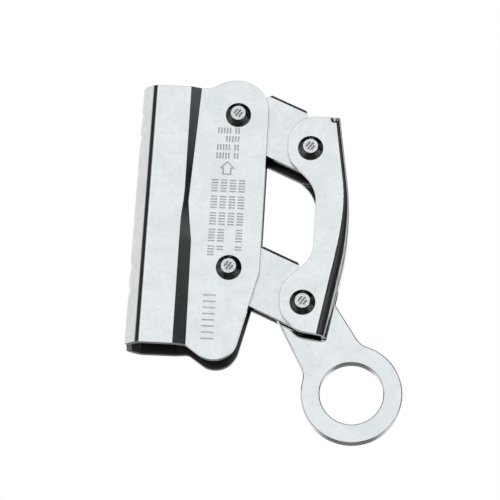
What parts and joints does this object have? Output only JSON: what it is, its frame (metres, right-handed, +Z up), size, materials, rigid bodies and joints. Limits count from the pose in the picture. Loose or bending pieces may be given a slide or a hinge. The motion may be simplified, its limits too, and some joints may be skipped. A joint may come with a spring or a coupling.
{
  "type": "rope grab",
  "caption": "Folded steel rope grab: cams on parallel levers grip a rope held in the body, pulled by a folded handle and an eye link for a lanyard.",
  "frame": {"origin": "on the centre line of the rope, halfway along the rope channel of the body", "axes": "+Z up along the rope, +X from the rope towards the lanyard eye, -Y the side with the marks"},
  "size_m": [0.108, 0.021, 0.1449],
  "materials": {
    "plate_steel": "tumbled satin stainless sheet",
    "link_steel": "tumbled satin stainless plate",
    "rivet_steel": "bright turned stainless",
    "cam_steel": "cast and ground stainless",
    "bush_bronze": "plain turned bronze",
    "washer_plastic": "black acetal",
    "spring_steel": "bright spring wire"
  },
  "bodies": {
    "body": {"body_shell": "plate_steel", "body_rivet_upper": "rivet_steel", "body_rivet_lower": "rivet_steel"},
    "upper_lever": {"lever_upper": "plate_steel", "lever_bush_upper": "bush_bronze", "cam_upper": "cam_steel", "cam_rivets_upper": "rivet_steel", "lever_spring_upper": "spring_steel", "handle_bush_upper": "bush_bronze"},
    "lower_lever": {"lever_lower": "plate_steel", "lever_bush_lower": "bush_bronze", "cam_lower": "cam_steel", "cam_rivets_lower": "rivet_steel", "lever_spring_lower": "spring_steel", "handle_bushes_lower": "bush_bronze"},
    "handle": {"handle_shell": "plate_steel", "handle_rivet_upper": "rivet_steel", "handle_rivet_lower": "rivet_steel"},
    "eye": {"eye_link": "link_steel", "eye_bush": "bush_bronze", "eye_washer_front": "washer_plastic", "eye_washer_rear": "washer_plastic"}
  },
  "joints": [
    {"name": "lower_lever_turn", "type": "hinge", "parent": "body", "child": "lower_lever", "pos_m": [0.0305, 0, -0.0214], "axis": [0, 1, 0], "range_deg": [-65, 20], "stiffness_Nm_per_rad": 0.06, "springref_deg": -17.19},
    {"name": "upper_lever_turn", "type": "hinge", "parent": "body", "child": "upper_lever", "pos_m": [0.0305, 0, 0.0424], "axis": [0, 1, 0], "range_deg": [-65, 20], "stiffness_Nm_per_rad": 0.06, "springref_deg": -17.19},
    {"name": "handle_turn", "type": "hinge", "parent": "lower_lever", "child": "handle", "pos_m": [0.05982, 0, -0.03421], "axis": [0, 1, 0], "range_deg": [-20, 65]},
    {"name": "eye_swing", "type": "hinge", "parent": "handle", "child": "eye", "pos_m": [0.05982, 0, -0.03421], "axis": [0, 1, 0], "range_deg": [-28, 20]}
  ],
  "couplings": [
    {"joint": "upper_lever_turn", "follows": "lower_lever_turn", "ratio": 1},
    {"joint": "handle_turn", "follows": "lower_lever_turn", "ratio": -1}
  ]
}
